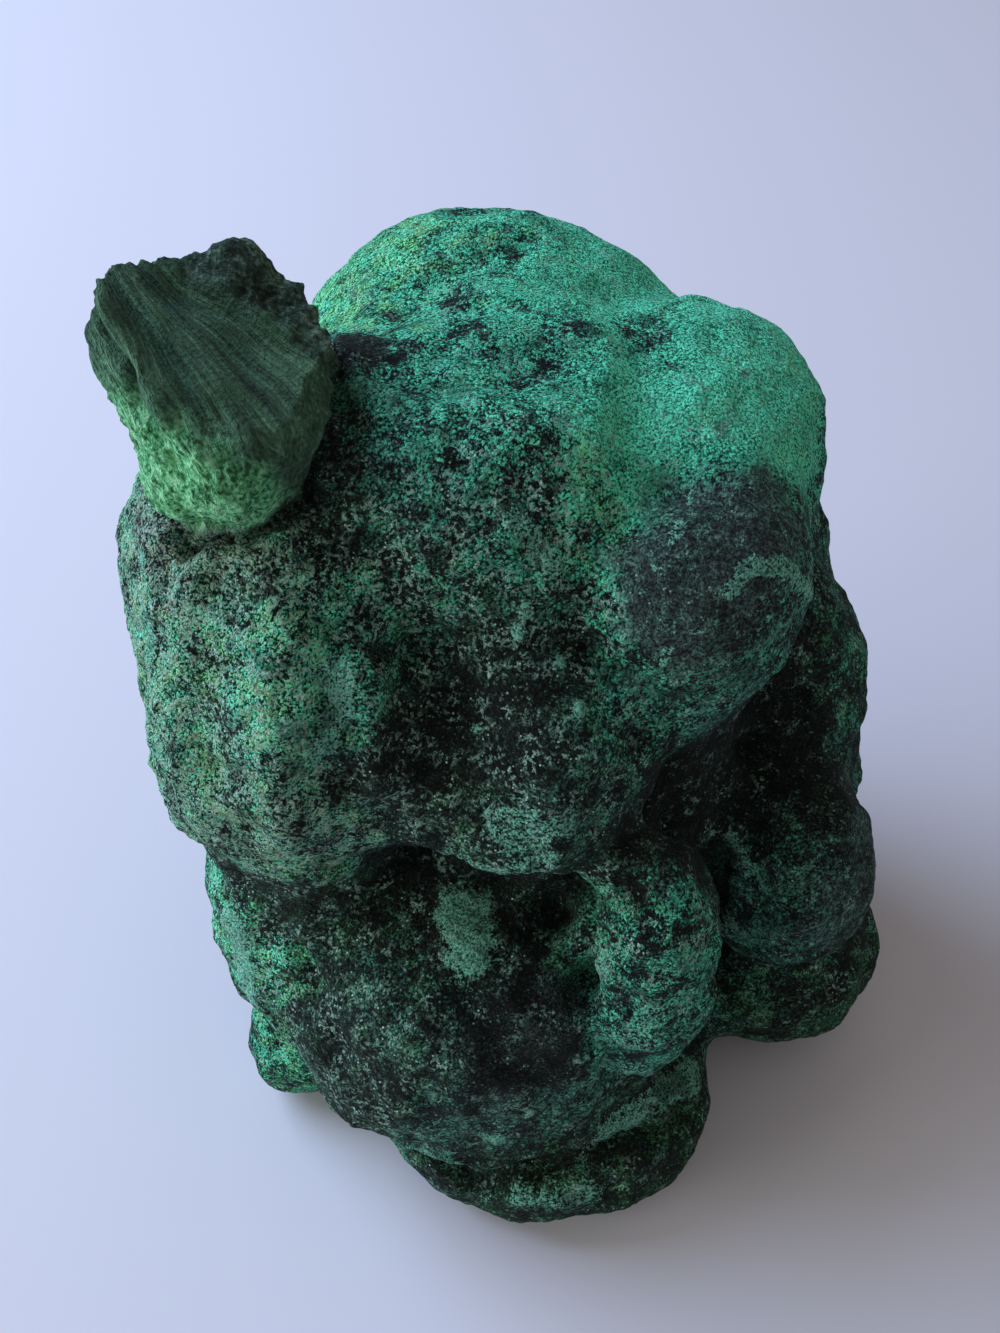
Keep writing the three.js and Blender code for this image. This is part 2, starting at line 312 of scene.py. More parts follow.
# Patches of loose growth: the kind, half the width in mm, how thick, and the path that the patch follows.
PATCHES = {
    "cheek streak": ("powder", 0.8, 0.62, [(0.68, 0.34, 0.77), (0.70, 0.35, 0.785), (0.74, 0.37, 0.775),
                                         (0.78, 0.39, 0.725)]),
    "cheek spot": ("powder", 0.7, 0.6, [(0.65, 0.33, 0.76)]),
    "low cheek spot": ("powder", 0.5, 0.5, [(0.63, 0.32, 0.74)]),
    "cheek edge": ("powder", 0.6, 0.45, [(0.60, 0.29, 0.66), (0.65, 0.29, 0.65), (0.71, 0.32, 0.65)]),
    "glade": ("powder", 0.8, 0.7, [(0.47, 0.34, 0.75), (0.46, 0.32, 0.73)]),
    "upper glade": ("powder", 1.0, 0.5, [(0.46, 0.38, 0.82), (0.50, 0.36, 0.78)]),
    "low glade": ("powder", 0.6, 0.7, [(0.51, 0.30, 0.71)]),
    "mid spot": ("powder", 0.8, 0.7, [(0.53, 0.26, 0.68)]),
    "chin spot": ("powder", 0.6, 0.6, [(0.41, 0.24, 0.67)]),
    "chin patch": ("powder", 2.2, 0.42, [(0.51, 0.18, 0.60), (0.45, 0.17, 0.585)]),
    "chin lip": ("powder", 1.3, 0.45, [(0.39, 0.21, 0.54), (0.43, 0.19, 0.53), (0.49, 0.18, 0.55)]),
    "left cheek teal": ("powder", 0.8, 0.8, [(0.06, 0.38, 0.77)]),
    "left cheek teal 2": ("powder", 0.8, 0.8, [(0.06, 0.34, 0.73), (0.055, 0.32, 0.70)]),
    "left cheek powder": ("powder", 1.2, 0.6, [(0.26, 0.28, 0.72), (0.27, 0.26, 0.69), (0.25, 0.23, 0.66)]),
    "left cheek powder 2": ("powder", 1.0, 0.5, [(0.22, 0.24, 0.69)]),
    "left cheek green": ("green", 2.0, 0.8, [(0.14, 0.29, 0.73), (0.13, 0.27, 0.70)]),
    "left cheek green 2": ("green", 1.9, 0.8, [(0.13, 0.24, 0.63), (0.13, 0.22, 0.60)]),
    "left cheek green 3": ("green", 1.8, 0.6, [(0.22, 0.30, 0.75)]),
    "belly patch": ("powder", 2.3, 0.9, [(0.40, 0.22, 0.41), (0.41, 0.17, 0.40)]),
    "belly spot": ("powder", 0.8, 0.7, [(0.30, 0.09, 0.33)]),
    "belly square": ("powder", 1.1, 0.6, [(0.43, 0.04, 0.21)]),
    "belly square 2": ("powder", 0.8, 0.6, [(0.48, 0.04, 0.25)]),
    "belly square 3": ("powder", 0.6, 0.6, [(0.38, 0.04, 0.17)]),
    "left hip powder": ("powder", 1.5, 0.8, [(0.11, 0.24, 0.36), (0.12, 0.23, 0.33), (0.11, 0.22, 0.24)]),
    "left hip green": ("green", 1.2, 0.9, [(0.18, 0.16, 0.27)]),
    "thumb powder": ("powder", 1.9, 0.6, [(0.565, 0.20, 0.42), (0.58, 0.15, 0.41)]),
    "thumb top": ("powder", 1.2, 0.6, [(0.65, 0.22, 0.45)]),
    "thumb side": ("powder", 1.7, 0.35, [(0.63, 0.11, 0.40), (0.60, 0.09, 0.35)]),
    "belly's lip": ("powder", 0.6, 0.7, [(0.33, 0.06, 0.15), (0.41, 0.03, 0.14), (0.49, 0.03, 0.16),
                                         (0.57, 0.05, 0.17), (0.64, 0.08, 0.16), (0.71, 0.14, 0.145)]),
    "under the thumb": ("powder", 1.5, 0.6, [(0.58, 0.07, 0.15), (0.64, 0.12, 0.15), (0.71, 0.18, 0.13)]),
    "rim patch": ("powder", 1.6, 0.6, [(0.57, 0.08, 0.27), (0.63, 0.09, 0.24), (0.70, 0.16, 0.18)]),
    "hip streak": ("powder", 0.8, 0.6, [(0.74, 0.34, 0.40), (0.76, 0.32, 0.38), (0.78, 0.29, 0.37)]),
    "hip patch": ("powder", 1.2, 0.45, [(0.79, 0.28, 0.27), (0.83, 0.27, 0.25)]),
    "front foot patch": ("powder", 1.6, 0.45, [(0.47, 0.02, 0.10), (0.56, 0.02, 0.10)]),
    "right foot green": ("green", 1.5, 0.5, [(0.84, 0.26, 0.08), (0.93, 0.29, 0.10)]),
}

# Ridges and hollows: the height in mm, half the width in mm, and the path that each follows.
RELIEF = {
    "crown ridge": (0.7, 1.3, [(0.42, 0.69, 0.88), (0.50, 0.68, 0.88), (0.60, 0.70, 0.86),
                               (0.68, 0.75, 0.83)]),
    "behind the ridge": (-0.8, 2.0, [(0.30, 0.64, 0.87), (0.38, 0.74, 0.88), (0.47, 0.80, 0.88)]),
    "crown dents": (-0.6, 1.5, [(0.36, 0.84, 0.87), (0.44, 0.88, 0.87)]),
    "plateau dip": (-0.8, 3.5, [(0.38, 0.56, 0.88), (0.50, 0.57, 0.88)]),
    "plateau edge": (0.8, 2.6, [(0.33, 0.43, 0.85), (0.43, 0.44, 0.86), (0.54, 0.47, 0.86)]),
    "plateau fold": (-0.6, 1.5, [(0.33, 0.52, 0.89), (0.42, 0.50, 0.88), (0.47, 0.52, 0.88)]),
    "brow valley": (-0.8, 2.5, [(0.60, 0.62, 0.86), (0.60, 0.52, 0.85), (0.64, 0.44, 0.83)]),
    "hollow": (-2.4, 3.8, [(0.37, 0.29, 0.70), (0.40, 0.24, 0.66), (0.42, 0.20, 0.61)]),
    "cheek's edge": (-1.2, 2.0, [(0.62, 0.42, 0.82), (0.55, 0.38, 0.79), (0.52, 0.32, 0.74),
                                 (0.55, 0.28, 0.69), (0.61, 0.27, 0.64)]),
    "cheek's swell": (0.8, 3.5, [(0.62, 0.35, 0.77), (0.66, 0.33, 0.72)]),
    "left cheek ridge": (1.1, 2.6, [(0.23, 0.32, 0.77), (0.20, 0.25, 0.68), (0.21, 0.21, 0.60)]),
    "hollow's left edge": (1.3, 2.0, [(0.28, 0.33, 0.75), (0.30, 0.27, 0.69), (0.31, 0.23, 0.62)]),
    "between them": (-0.8, 2.0, [(0.26, 0.34, 0.76), (0.26, 0.26, 0.69), (0.26, 0.22, 0.62)]),
    "left cheek dent": (-0.9, 2.4, [(0.16, 0.34, 0.78), (0.13, 0.28, 0.70), (0.12, 0.23, 0.62)]),
    "chin's lip": (0.6, 1.2, [(0.37, 0.22, 0.55), (0.43, 0.18, 0.53), (0.50, 0.17, 0.55)]),
    "belly's rim": (-2.0, 1.1, [(0.33, 0.06, 0.115), (0.41, 0.03, 0.105), (0.49, 0.03, 0.13),
                                (0.57, 0.06, 0.135), (0.64, 0.09, 0.125), (0.71, 0.14, 0.11)]),
    "belly's lip": (1.2, 1.1, [(0.33, 0.06, 0.15), (0.41, 0.03, 0.14), (0.49, 0.03, 0.16),
                               (0.57, 0.05, 0.17), (0.64, 0.08, 0.16), (0.71, 0.14, 0.145)]),
    "belly's fold": (-0.8, 2.0, [(0.40, 0.12, 0.385), (0.45, 0.08, 0.35), (0.50, 0.05, 0.27)]),
    "left of the belly": (-1.1, 2.3, [(0.18, 0.21, 0.38), (0.22, 0.16, 0.33), (0.24, 0.10, 0.29)]),
    "thumb's left": (-1.6, 1.1, [(0.55, 0.20, 0.44), (0.545, 0.14, 0.39), (0.555, 0.10, 0.33),
                                 (0.585, 0.085, 0.25), (0.63, 0.09, 0.19)]),
    "thumb's swell": (0.9, 2.5, [(0.62, 0.09, 0.36), (0.65, 0.085, 0.27)]),
    "thumb wrinkle 1": (0.5, 0.7, [(0.69, 0.15, 0.43), (0.61, 0.10, 0.385)]),
    "thumb wrinkle 2": (0.5, 0.7, [(0.70, 0.13, 0.385), (0.62, 0.08, 0.34)]),
    "thumb wrinkle 3": (0.4, 0.7, [(0.70, 0.13, 0.34), (0.63, 0.08, 0.30)]),
    "thumb crack": (-0.7, 0.5, [(0.62, 0.16, 0.44), (0.68, 0.16, 0.435)]),
    "hip groove": (-0.8, 1.2, [(0.76, 0.34, 0.42), (0.79, 0.29, 0.36), (0.80, 0.27, 0.28)]),
    "nape fold": (-0.9, 2.0, [(0.06, 0.62, 0.70), (0.12, 0.82, 0.60), (0.20, 0.92, 0.50)]),
    "back fold": (-0.9, 2.0, [(0.35, 0.98, 0.62), (0.50, 1.0, 0.56), (0.65, 0.95, 0.60)]),
    "right fold": (-0.8, 2.0, [(0.98, 0.60, 0.60), (0.96, 0.75, 0.45), (0.85, 0.90, 0.42)]),
}


def grown(points):
    """How bright, green, filmed over, dusty and thickly tipped the skin is at each point."""
    wander = 2.2 * MM * np.stack([layered(points + shift * MM, 5 * MM, 3) for shift in (0, 31, 57)], axis=1)
    total = np.full(len(points), FAINT)
    sums = np.full((len(points), len(PLAIN_SKIN)), FAINT) * np.array(PLAIN_SKIN)
    for spot, reach, *character in GROWTH.values():
        apart = np.linalg.norm(points + wander - place(*spot), axis=1) / (reach * MM)
        weight = np.exp(-1.6 * apart**2)
        total += weight
        sums += weight[:, None] * np.array(character)
    return (sums / total[:, None]).T


def off_path(points, path):
    """Distance from each point to a path through some places."""
    nearest = np.full(len(points), np.inf)
    stops = [place(*stop) for stop in path]
    for start, end in zip(stops, stops[1:] or stops):
        run = end - start
        share = np.clip((points - start) @ run / max(run @ run, 1e-12), 0, 1)
        nearest = np.minimum(nearest, np.linalg.norm(points - start - share[:, None] * run, axis=1))
    return nearest


def relief(points):
    """How far the ridges and hollows move each point, in mm."""
    wavering = points + 0.8 * MM * layered(points, 4 * MM, 2)[:, None]
    return sum(height * np.exp(-(off_path(wavering, path) / (half_width * MM))**2)
               for height, half_width, path in RELIEF.values())


def patches(points, kind):
    """How thick the loose growth of one kind is at each point, with ragged edges."""
    ragged = 0.5 * layered(points, 2 * MM, 3)
    thickness = np.zeros(len(points))
    for made_of, half_width, strength, path in PATCHES.values():
        if made_of == kind:
            apart = off_path(points, path) / (half_width * MM)
            thickness = np.maximum(thickness, strength * ramp(ragged - apart, -1.4, -0.6))
    return thickness


# ---------------------------------------------------------------- the stub
# The stub is split along planes, and its own axes are across, inwards and along. Each plane has a
# direction and its distance from the stub's middle in mm.
STUB_MIDDLE = place(0.147, 0.449, 0.914)
STUB_LEAN = math.radians(48)
STUB_SIZE = (11, 9, 12.5)
STUB_SPLITS = [
    ((-0.05, 0.1, 1), 9.6),
    ((0.69, 0, 0.72), 10.4),
    ((0.97, 0.1, -0.24), 7.9),
    ((0.6, 0, -0.8), 9.4),
    ((0.1, -0.1, -1), 9.9),
    ((-0.9, 0.05, -0.43), 6.6),
    ((-1, 0.1, 0), 8.3),
    ((0.2, -0.97, 0.12), 4.6),
    ((-0.62, -0.72, -0.3), 6.2),
    ((0.3, -0.75, 0.6), 6.6),
]
STUB_TURN = np.array([
    [1, 0, 0],
    [0, math.cos(STUB_LEAN), -math.sin(STUB_LEAN)],
    [0, math.sin(STUB_LEAN), math.cos(STUB_LEAN)]])
# The outer face and the main face meet in a ridge, and the growth rim is rounded off at its outer corner.
STUB_TRIMS = [
    ((-0.75, -0.62, -0.25), 5.9),
    ((0.30, -1.00, 0.51), 3.1),
    ((-0.55, 0, -0.83), 8.8),
    ((-0.1, 0, -1), 9.3),
    ((0.65, 0, -0.75), 9.1),
]
APEX = (-11, 1, 13.5)  # in the stub's own axes, in mm: the fibres fan out from here
# Ridges and clefts along the fibres: the angle from straight down and half the width, both in degrees, and
# the height in mm.
STUB_RIDGES = [
    (12, 3, 0.3),
    (19, 3, 0.5),
    (24.5, 1.8, -1.6),
    (29.5, 2.2, 1.2),
    (36, 2, -0.7),
    (41, 2.5, 0.5),
    (49, 4, -0.4),
    (57, 3, -0.6),
    (62, 3, 0.4),
]
# A knob on the stub's broken top: its middle in the same axes, its height and its reach, in mm.
NUB = (2.0, 1.0, 9.4)
NUB_HEIGHT = 1.9
NUB_REACH = 2.3
# The groove where the stub leaves the stone: how far outside the stub it runs, its width and depth, in mm.
SEAM_OUT = 1.0
SEAM_WIDTH = 0.35
SEAM_DEPTH = 0.6
# The fibres' colours follow their direction, at this scale.
FIBRE_SCALE = 52


def stub_axes(points):
    """Points in the stub's own axes, in mm."""
    return (points - STUB_MIDDLE) @ STUB_TURN.T / MM


def off_stub(own):
    """Signed distance to the split stub, in mm."""
    near = np.linalg.norm(own / STUB_SIZE, axis=1)
    slope = np.linalg.norm(own / STUB_SIZE / STUB_SIZE, axis=1)
    apart = near * (near - 1) / np.maximum(slope, 1e-6)
    for direction, reach in STUB_SPLITS:
        unit = np.array(direction) / np.linalg.norm(direction)
        apart = np.maximum(apart, own @ unit - reach)
    return apart


def stub_shape(points):
    """The stub's skin at each point.

    Gives the trimmed points, the masks of the stub, its rim, its broken top and the seam round it, the
    coordinates along its fibres, and how far its skin stands out, in metres.
    """
    own = stub_axes(points)
    apart = off_stub(own)
    mask = ramp(-apart, -0.8, -0.45)
    seam = np.exp(-((apart - SEAM_OUT) / SEAM_WIDTH)**2)
    for direction, reach in STUB_TRIMS:
        unit = np.array(direction) / np.linalg.norm(direction)
        excess = np.maximum(own @ unit - reach, 0) * mask * ramp(-own[:, 1], -6, -3)
        own = own - excess[:, None] * unit
    points = STUB_MIDDLE + own @ STUB_TURN * MM
    rough = layered(points, 2.5 * MM, 3)
    rim = ramp(-0.5 * own[:, 0] - 0.85 * own[:, 2] + 1.2 * rough, 1.6, 5.2)
    broken = ramp(0.6 * own[:, 0] + 0.8 * own[:, 2] + 1.6 * rough, 6.0, 7.6)

    spoke = own - np.array(APEX)
    reach = np.linalg.norm(spoke, axis=1)
    direction = spoke / reach[:, None] + 0.007 * layered(points + 3 * MM, 4 * MM, 2)[:, None]
    turn = np.degrees(np.arctan2(spoke[:, 0], -spoke[:, 2])) + 1.5 * noise(points, 3 * MM)
    fibres = 0.45 * noise(direction + 0.002 * reach[:, None], 0.08)
    fibres += 0.24 * noise(direction + 0.003 * reach[:, None] + 5, 0.035)
    for angle, half_width, height in STUB_RIDGES:
        ridge = np.exp(-((turn - angle) / half_width)**2)
        fibres += height * ridge * ramp(reach, 8, 11) * ramp(-reach, -27, -20)

    grains, _ = cells_apart(points, 0.8 * MM)
    granular = 0.5 * (0.55 - grains) + 0.25 * noise(points, 1.5 * MM)
    shards = 0.7 * np.abs(layered(points + 7 * MM, 2.4 * MM, 4)) + 0.2 * noise(points, 0.9 * MM)
    move = (1 - rim) * (1 - broken) * fibres + 0.6 * rim * fibres + rim * granular + broken * (shards - 0.35)
    nub = np.exp(-(np.linalg.norm(own - NUB, axis=1) / NUB_REACH)**2)
    move += 0.5 * noise(points + 11 * MM, 4.5 * MM) + NUB_HEIGHT * nub
    coordinates = direction * FIBRE_SCALE + reach[:, None] * 0.05
    stands_out = (move * mask - SEAM_DEPTH * seam) * MM
    return points, mask, rim * mask, broken * mask, seam, coordinates, stands_out


VELVET_STEP = 0.7 * MM  # between the crystal tips
CREASE_DEPTH = 1.1  # in mm
FLAT_FOOT = (0.2 * MM, 3 * MM)  # above the foot: where the skin starts to move, and where it moves fully


def skin(mesh):
    """Moves the mesh's points, and stores the masks that the material reads."""
    points = vectors(mesh.vertices, "co")
    normals = vectors(mesh.vertex_normals, "vector")
    grid, low = stone_grid(mesh)
    close = sampled(blurred(grid, 2), low, points)
    wide = sampled(blurred(grid, 7), low, points)
    # Creases and sheltered places: the material darkens both as painted shade, and the creases are also cut
    # deeper.
    crease = ramp(close, 0.52, 0.70)
    shelter_shade = ramp(wide, 0.45, 0.80)
    bright, green, film, dust, tips = grown(points)
    powder = patches(points, "powder")
    green = np.maximum(green, patches(points, "green"))
    points, stub, rim, broken, seam, fibres, stub_move = stub_shape(points)
    # The seam round the stub joins the creases, so it is darkened as painted shade too.
    crease = np.maximum(crease, seam)
    rest = 1 - stub
    foot = ramp(points[:, 2], LOW[2] + FLAT_FOOT[0], LOW[2] + FLAT_FOOT[1])

    velvet, _ = cells_apart(points, VELVET_STEP)
    coarse = 0.35 + 0.65 * tips
    even = np.maximum(ramp(bright, 0.5, 0.9), ramp(film, 0.3, 0.9))
    move = relief(points)
    move += (0.9 - 0.5 * even) * (0.25 - np.abs(noise(points, 8 * MM)))
    move += (0.38 - 0.2 * even) * noise(points + 5 * MM, 3.4 * MM)
    move += 0.30 * coarse * noise(points + 9 * MM, 1.8 * MM) + 0.18 * coarse * noise(points, 0.9 * MM)
    move += 0.22 * coarse * (0.5 - velvet)
    move += 0.25 * powder * (1 + noise(points, 1.2 * MM))
    move -= CREASE_DEPTH * crease
    points = points + normals * (foot * (rest * move * MM + stub_move))[:, None]
    points[:, 2] = np.maximum(points[:, 2], LOW[2])
    mesh.vertices.foreach_set("co", points.astype(np.float32).ravel())
    mesh.update()

    masks = {"crease": crease, "shelter_shade": shelter_shade, "bright": bright, "green": green, "film": film,
             "dust": dust, "tips": tips, "powder": powder, "stub": stub, "rim": rim, "broken": broken}
    for name, values in masks.items():
        mesh.attributes.new(name, "FLOAT", "POINT").data.foreach_set("value", values.astype(np.float32))
    fibre_map = mesh.attributes.new("fibres", "FLOAT_VECTOR", "POINT")
    fibre_map.data.foreach_set("vector", fibres.astype(np.float32).ravel())


def stone_piece():
    """The visible stone, as one object."""
    base = base_mesh()
    lay_out_map(base)
    mesh = refined(base, SUBDIVISIONS)
    skin(mesh)
    mesh.name = "malachite"
    for polygon in mesh.polygons:
        polygon.use_smooth = True
    stone = bpy.data.objects.new("malachite", mesh)
    bpy.context.scene.collection.objects.link(stone)
    return stone


# ---------------------------------------------------------------- materials
class Nodes:
    """Adds nodes to a material's tree, with their inputs given by name or number."""

    def __init__(self, material):
        material.use_nodes = True
        self.tree = material.node_tree
        self.tree.nodes.clear()

    def fill(self, socket, value):
        if isinstance(value, bpy.types.NodeSocket):
            self.tree.links.new(value, socket)
        elif isinstance(value, tuple) and len(value) == 3 and socket.type == "RGBA":
            socket.default_value = (*value, 1)
        else:
            socket.default_value = value

    def add(self, kind, inputs=None, **settings):
        node = self.tree.nodes.new("ShaderNode" + kind)
        for name, value in settings.items():
            setattr(node, name, value)
        for name, value in (inputs or {}).items():
            self.fill(node.inputs[name], value)
        return node

    def attribute(self, name, output="Fac"):
        return self.add("Attribute", attribute_name=name).outputs[output]

    def noise(self, vector, scale, detail=2.0, roughness=0.5, distortion=0.0):
        inputs = {"Vector": vector, "Scale": scale, "Detail": detail,
                  "Roughness": roughness, "Distortion": distortion}
        return self.add("TexNoise", inputs).outputs["Fac"]

    def ramp(self, value, low, high, start=0.0, end=1.0):
        inputs = {"Value": value, "From Min": low, "From Max": high, "To Min": start, "To Max": end}
        return self.add("MapRange", inputs, interpolation_type="SMOOTHSTEP").outputs["Result"]

    def math(self, operation, *values):
        return self.add("Math", dict(enumerate(values)), operation=operation).outputs[0]

    def sum(self, *terms):
        total = terms[0]
        for term in terms[1:]:
            total = self.math("ADD", total, term)
        return total

    def product(self, *terms):
        total = terms[0]
        for term in terms[1:]:
            total = self.math("MULTIPLY", total, term)
        return total

    def around(self, value, size):
        """A noise value of about 0.5 turned into one of about 0, scaled."""
        return self.math("MULTIPLY", self.math("SUBTRACT", value, 0.5), size)

    def mix(self, share, a, b, how="MIX"):
        node = self.add("Mix", {"Factor": share}, data_type="RGBA", blend_type=how)
        self.fill(node.inputs[6], a)
        self.fill(node.inputs[7], b)
        return node.outputs[2]

    def colours(self, value, stops):
        """A colour ramp through stops of a position and a colour."""
        node = self.add("ValToRGB", {0: value})
        elements = node.color_ramp.elements
        for _ in stops[2:]:
            elements.new(0.5)
        for element, (position, colour) in zip(elements, stops):
            element.position = position
            element.color = (*colour, 1)
        return node.outputs["Color"]


# Linear colours. A ramp is a list of stops, each a position and its colour, from dark to light.
TEALS = [(0.0, (0.005, 0.007, 0.006)), (0.25, (0.014, 0.034, 0.028)), (0.5, (0.034, 0.180, 0.125)),
         (0.75, (0.045, 0.500, 0.290)), (1.0, (0.110, 0.800, 0.470))]
GREENS = [(0.0, (0.005, 0.008, 0.005)), (0.25, (0.014, 0.048, 0.022)), (0.5, (0.040, 0.220, 0.085)),
          (0.75, (0.080, 0.500, 0.185)), (1.0, (0.230, 0.760, 0.330))]
FILM = (0.032, 0.046, 0.044)
FILM_LIGHT = (0.072, 0.132, 0.116)
DUST = (0.300, 0.270, 0.220)
POWDER = (0.170, 0.520, 0.370)
# The next two are painted glints: bright flecks on the crystal tips standing in for light caught by them.
TIP_GLINT = (0.450, 0.820, 0.640)
GLINT_SPARKLE = (0.500, 0.850, 0.660)
STUB_FACE = [(0.20, (0.018, 0.040, 0.026)), (0.46, (0.044, 0.108, 0.064)), (0.65, (0.075, 0.185, 0.105)),
             (0.85, (0.170, 0.330, 0.200))]
STUB_RIM = [(0.32, (0.025, 0.110, 0.040)), (0.5, (0.110, 0.460, 0.190)), (0.68, (0.320, 0.760, 0.400))]
STUB_BROKEN = [(0.35, (0.013, 0.024, 0.017)), (0.52, (0.036, 0.082, 0.056)), (0.68, (0.140, 0.230, 0.160))]


def arcs(nodes, vector, scale, half_width):
    """Thin curved lines, like crystal tips lying over each other, drawn as painted glints and a little
    relief.
    """
    wave = nodes.math("ABSOLUTE", nodes.math("SUBTRACT", nodes.noise(vector, scale, 1, 0.5, 0.8), 0.5))
    return nodes.ramp(wave, 0.0, half_width, 1.0, 0.0)


def velvet_colour(nodes, vector):
    """The skin's colour and relief, with painted shade in hollows and painted glints on its crystal tips."""
    mottle = nodes.noise(vector, 0.35, 5, 0.65)
    grain = nodes.noise(vector, 1.7, 3, 0.6)
    sand = nodes.noise(vector, 4.6, 3, 0.65)
    warped = nodes.add("VectorMath", {0: vector, 1: nodes.product(grain, 0.9)}, operation="ADD").outputs[0]
    grains = nodes.add("TexVoronoi", {"Vector": warped, "Scale": 2.3}, feature="DISTANCE_TO_EDGE")
    gaps = nodes.ramp(grains.outputs["Distance"], 0.0, 0.22)

    bright = nodes.attribute("bright")
    unevenness = nodes.sum(nodes.around(mottle, 2.4), nodes.around(grain, 1.5), nodes.around(sand, 1.8),
                           nodes.around(gaps, 0.2))
    calm = nodes.ramp(bright, 0.62, 0.95, 1.0, 0.4)
    tone = nodes.sum(bright, nodes.product(unevenness, nodes.ramp(bright, 0.0, 0.55, 0.45, 1.7), calm))
    greenness = nodes.sum(nodes.attribute("green"), nodes.around(nodes.noise(vector, 0.6, 3), 1.8))
    hue = nodes.ramp(greenness, 0.15, 0.85)
    colour = nodes.mix(hue, nodes.colours(tone, TEALS), nodes.colours(tone, GREENS))

    film = nodes.mix(nodes.ramp(grain, 0.38, 0.64), FILM, FILM_LIGHT)
    film_share = nodes.sum(nodes.attribute("film"), nodes.around(mottle, 2.0), nodes.around(sand, 1.4))
    colour = nodes.mix(nodes.ramp(film_share, 0.25, 0.85, 0, 0.9), colour, film)

    dust_share = nodes.sum(nodes.attribute("dust"), nodes.around(grain, 3.0), nodes.around(sand, 3.0),
                           nodes.around(mottle, 2.0))
    colour = nodes.mix(nodes.ramp(dust_share, 0.55, 1.3, 0, 0.8), colour, DUST)

    flecks = nodes.product(nodes.ramp(nodes.noise(vector, 0.42, 4, 0.6), 0.61, 0.67), 0.5,
                           nodes.ramp(bright, 0.1, 0.4))
    powder = nodes.math("MAXIMUM", nodes.attribute("powder"), flecks)
    powder_share = nodes.sum(powder, nodes.around(grain, 1.4), nodes.around(sand, 1.6))
    colour = nodes.mix(nodes.ramp(powder_share, 0.25, 0.65, 0, 0.9), colour, POWDER)
    blots = nodes.product(nodes.ramp(nodes.noise(vector, 0.28, 5, 0.65), 0.53, 0.62, 0.0, 0.6), calm)

    # Painted shade: darker in creases, in the seam round the stub and in sheltered places, times the skin's
    # own blots and pores.
    shade = nodes.ramp(nodes.attribute("crease"), 0.0, 1.0, 1.0, 0.4)
    shelter_shade = nodes.ramp(nodes.attribute("shelter_shade"), 0.1, 1.0, 1.0, 0.7)
    pores = nodes.ramp(nodes.sum(sand, nodes.around(gaps, 0.1)), 0.41, 0.55, 0.35, 1.5)
    level = nodes.product(shade, shelter_shade, nodes.math("SUBTRACT", 1.0, blots), pores)
    shaded = nodes.add("CombineColor", {i: level for i in range(3)}).outputs[0]
    colour = nodes.mix(1.0, colour, shaded, "MULTIPLY")

    # Painted glints: bright arcs and sparkles on the crystal tips, dimmed in the creases.
    clusters = nodes.sum(nodes.attribute("tips"), nodes.around(nodes.noise(vector, 0.5, 3), 3.5))
    broken_up = nodes.ramp(nodes.noise(vector, 2.2, 1), 0.50, 0.58)
    lines = nodes.math("MAXIMUM", arcs(nodes, vector, 1.9, 0.085), arcs(nodes, warped, 3.0, 0.10))
    spark = nodes.product(lines, broken_up)
    grown_tips = nodes.ramp(clusters, 0.2, 1.2)
    points = nodes.add("TexVoronoi", {"Vector": vector, "Scale": 2.1})
    picked = nodes.ramp(nodes.add("SeparateColor", {0: points.outputs["Color"]}).outputs[0], 0.62, 0.66)
    sparkle_glints = nodes.product(nodes.ramp(points.outputs["Distance"], 0.14, 0.24, 1.0, 0.0), picked,
                            nodes.ramp(clusters, 0.0, 0.8))
    colour = nodes.mix(nodes.product(spark, grown_tips, shade), colour, TIP_GLINT)
    colour = nodes.mix(nodes.product(sparkle_glints, shade), colour, GLINT_SPARKLE)
    height = nodes.sum(nodes.product(grain, 0.8), nodes.product(sand, 0.6), nodes.product(gaps, 0.15),
                       nodes.product(spark, 0.25))
    return colour, height


def stub_colour(nodes, vector):
    """The split stub's colour and relief: drawn-out fibres, a granular rim and a broken top."""
    along = nodes.attribute("fibres", "Vector")
    threads = nodes.noise(along, 1.5, 2, 0.6)
    bundles = nodes.noise(along, 0.35, 2)
    grain = nodes.noise(vector, 2.4, 3, 0.6)
    blotch = nodes.noise(vector, 0.5, 3)
    face = nodes.colours(nodes.sum(threads, nodes.around(bundles, 0.9), nodes.around(grain, 0.3)), STUB_FACE)
    rim = nodes.colours(nodes.sum(grain, nodes.around(threads, 0.8), nodes.around(blotch, 0.6)), STUB_RIM)
    broken = nodes.colours(nodes.sum(grain, nodes.around(blotch, 0.6)), STUB_BROKEN)
    colour = nodes.mix(nodes.attribute("rim"), face, rim)
    colour = nodes.mix(nodes.attribute("broken"), colour, broken)
    return colour, nodes.sum(nodes.product(threads, 0.9), nodes.product(grain, 0.7))


BUMP_STRENGTH = 0.9
BUMP_DEPTH = 0.8 * MM


